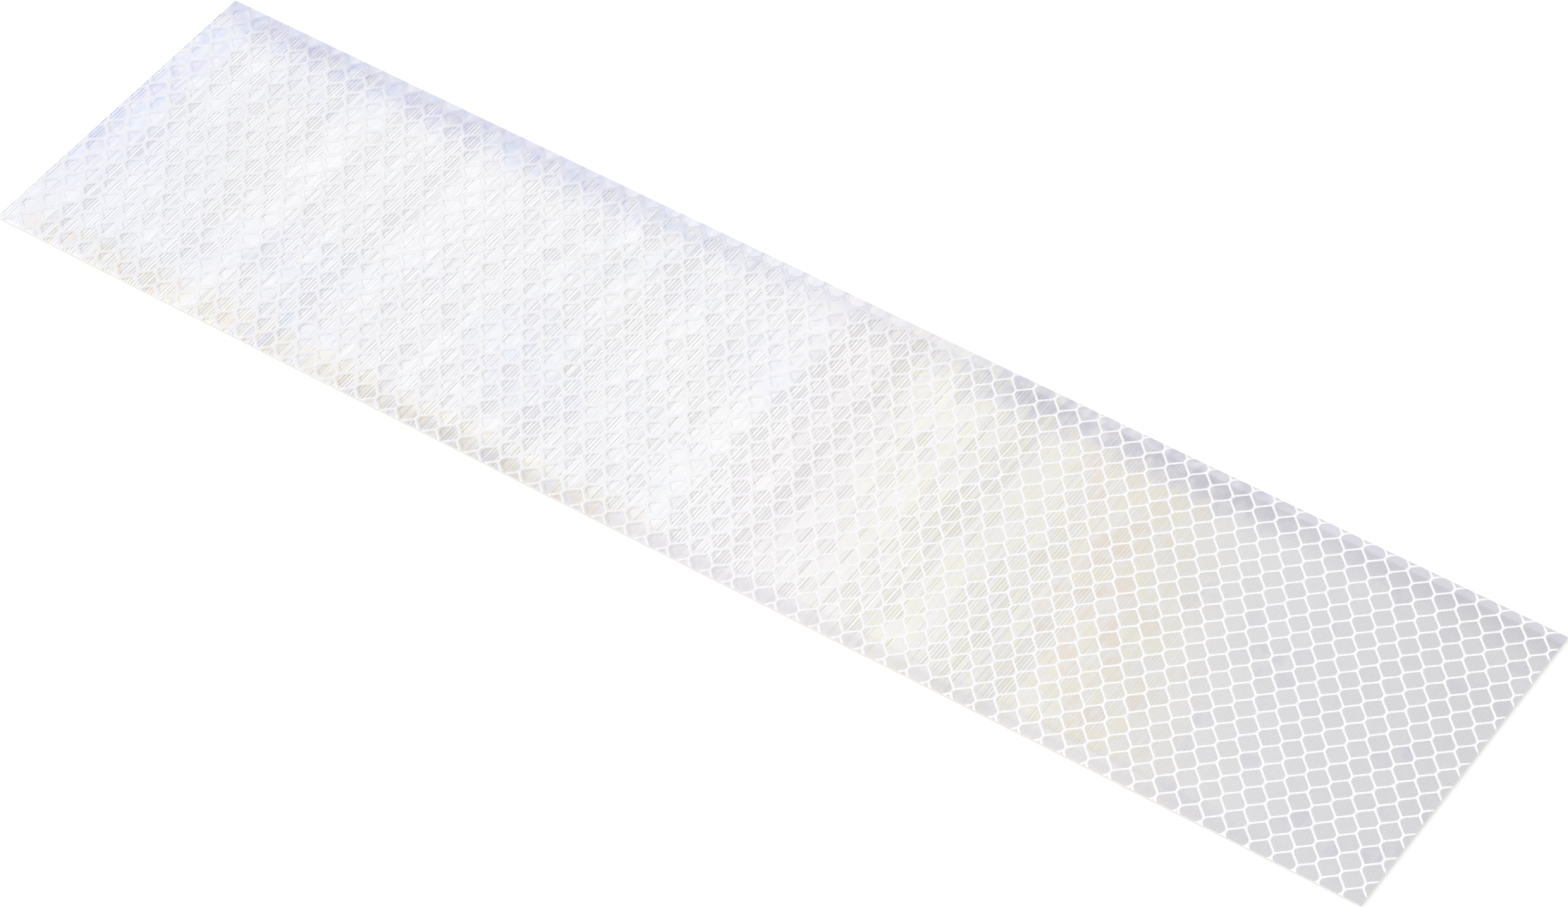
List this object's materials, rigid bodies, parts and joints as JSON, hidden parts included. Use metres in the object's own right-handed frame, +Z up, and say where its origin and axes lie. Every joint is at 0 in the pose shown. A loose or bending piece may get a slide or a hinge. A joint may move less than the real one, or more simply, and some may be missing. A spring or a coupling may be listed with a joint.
{
  "type": "retroreflective marking strip",
  "caption": "Flat self-adhesive strip of prismatic retroreflective sheeting with a white sealed cell net, on a release liner that pulls away.",
  "frame": {"origin": "middle of the underside, on the surface that the strip lies on", "axes": "+X along the strip, +Y across it, +Z up, out of the reflecting face"},
  "size_m": [0.2, 0.05, 0.0006],
  "materials": {
    "clear_face": "clear glossy film",
    "prisms": "clear film with fine rows of prisms, silvery over the air cells",
    "white_seal": "white heat-seal film",
    "white_backing": "white film",
    "adhesive": "translucent tacky adhesive",
    "liner_paper": "silicone-coated release paper"
  },
  "bodies": {
    "strip": {"adhesive_layer": "adhesive", "backing_film": "white_backing", "seal_net": "white_seal", "prism_film": "prisms", "face_film": "clear_face"},
    "liner": {"release_liner": "liner_paper"}
  },
  "joints": [
    {"name": "liner_peel", "type": "slide", "parent": "strip", "child": "liner", "axis": [-1, 0, 0], "range_m": [0, 0.205]}
  ]
}
